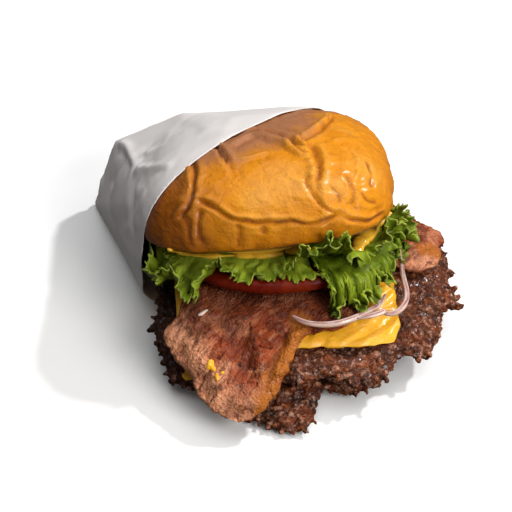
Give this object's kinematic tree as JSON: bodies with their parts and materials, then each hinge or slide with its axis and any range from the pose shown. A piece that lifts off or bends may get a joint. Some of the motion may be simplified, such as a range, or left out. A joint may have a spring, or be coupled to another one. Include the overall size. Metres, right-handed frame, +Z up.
{
  "type": "bacon double cheeseburger",
  "caption": "Bacon cheeseburger with smashed patties, lettuce, tomato and onion in a soft roll, held in an open white paper sleeve.",
  "frame": {"origin": "middle of the footprint's bounding box, on the plane that the burger rests on", "axes": "+Z up, -Y out of the open front where the filling shows, +X to the eater's right"},
  "size_m": [0.1584, 0.1687, 0.0767],
  "materials": {
    "bread": "glazed brown crust",
    "bread_base": "pale soft bread",
    "beef": "dark seared meat, greasy",
    "cheese": "melted processed cheese",
    "bacon": "fried bacon, oily",
    "tomato": "wet skin",
    "onion": "wet",
    "lettuce": "leaf, slightly waxy",
    "sauce": "wet mustard sauce",
    "paper": "matte greaseproof paper"
  },
  "bodies": {
    "root": {"bun_crown": "bread", "bun_heel": "bread_base", "patty_lower": "beef", "patty_upper": "beef", "cheese_slice": "cheese", "bacon_front": "bacon", "bacon_side": "bacon", "tomato_slice": "tomato", "onion_front": "onion", "onion_side": "onion", "lettuce_left": "lettuce", "lettuce_low": "lettuce", "lettuce_high": "lettuce", "sauce": "sauce", "paper_sleeve": "paper"}
  },
  "joints": []
}
